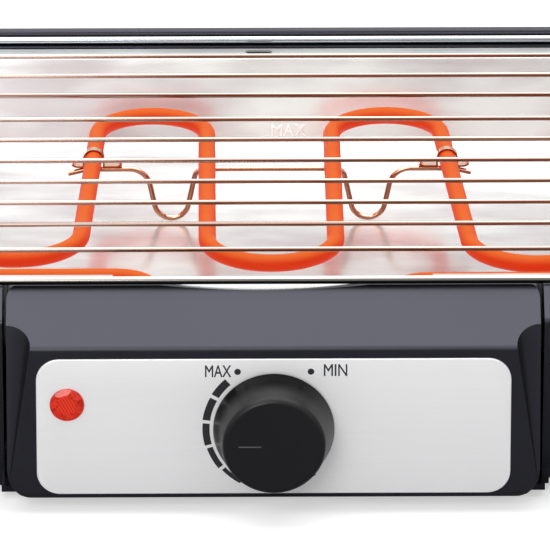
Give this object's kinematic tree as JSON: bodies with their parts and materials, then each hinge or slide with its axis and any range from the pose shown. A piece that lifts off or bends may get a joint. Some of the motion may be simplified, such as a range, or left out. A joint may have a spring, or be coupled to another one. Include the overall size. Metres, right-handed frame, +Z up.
{
  "type": "electric tabletop grill",
  "caption": "Tabletop electric barbecue grill: moulded base, steel water tray, lift-out heating unit with control box and knob, welded wire grid.",
  "frame": {"origin": "on the table, at the centre of the outline of the whole grill", "axes": "+X along the length to the right, +Y from the control box to the back, +Z up"},
  "size_m": [0.505, 0.3044, 0.0845],
  "materials": {
    "black_plastic": "fine moulded texture, satin",
    "grip_plastic": "fine moulded texture",
    "gloss_black": "satin to gloss moulding",
    "rubber": "matt",
    "polished_steel": "bright pressed sheet",
    "brushed_plate": "straight brushed",
    "steel": "plain zinc-plated",
    "chrome_wire": "bright chromed wire",
    "hot_sheath": "oxidised sheath glowing orange",
    "warm_wire": "bright wire tinted by the glow",
    "red_lens": "clear red moulding",
    "ceramic": "pale glazed ceramic",
    "brass": "turned",
    "blue_plastic": "moulded",
    "red_wire": "silicone sleeve",
    "white_plastic": "moulded"
  },
  "bodies": {
    "base": {"base_shell": "black_plastic", "rubber_feet": "rubber", "handle_left": "grip_plastic", "handle_right": "grip_plastic", "handle_screws": "steel"},
    "tray": {"reflector_tray": "polished_steel"},
    "heating_unit": {"control_housing": "gloss_black", "rear_cover": "black_plastic", "cover_screws": "steel", "faceplate": "brushed_plate", "lamp_lens": "red_lens", "lamp_body": "white_plastic", "thermostat_body": "ceramic", "thermostat_bracket": "steel", "thermostat_screws": "steel", "terminal_block": "white_plastic", "safety_switch": "blue_plastic", "internal_wires": "red_wire", "cord_gland": "black_plastic", "terminal_plate": "polished_steel", "plate_screws": "steel", "heating_element": "hot_sheath", "element_bushes": "ceramic", "terminal_pins": "steel", "support_wire": "warm_wire", "element_clips": "warm_wire"},
    "knob_and_spindle": {"knob": "gloss_black", "thermostat_spindle": "brass"},
    "plunger": {"switch_plunger": "white_plastic"},
    "grid": {"grid_frame": "chrome_wire", "grid_cross_wires": "chrome_wire", "grid_bars": "chrome_wire"}
  },
  "joints": [
    {"name": "tray_lift", "type": "slide", "parent": "base", "child": "tray", "axis": [0, 0, 1], "range_m": [0, 0.09]},
    {"name": "unit_lift", "type": "slide", "parent": "tray", "child": "heating_unit", "axis": [0, 0, 1], "range_m": [0, 0.09]},
    {"name": "grid_lift", "type": "slide", "parent": "heating_unit", "child": "grid", "axis": [0, 0, 1], "range_m": [0, 0.05]},
    {"name": "knob_turn", "type": "hinge", "parent": "heating_unit", "child": "knob_and_spindle", "pos_m": [0, -0.1351, 0.034], "axis": [0, 1, 0], "range_deg": [-240, 60]},
    {"name": "plunger_travel", "type": "slide", "parent": "heating_unit", "child": "plunger", "axis": [0, 0, -1], "range_m": [0, 0.002]}
  ],
  "couplings": [
    {"joint": "plunger_travel", "follows": "unit_lift", "ratio": 0.0222}
  ]
}
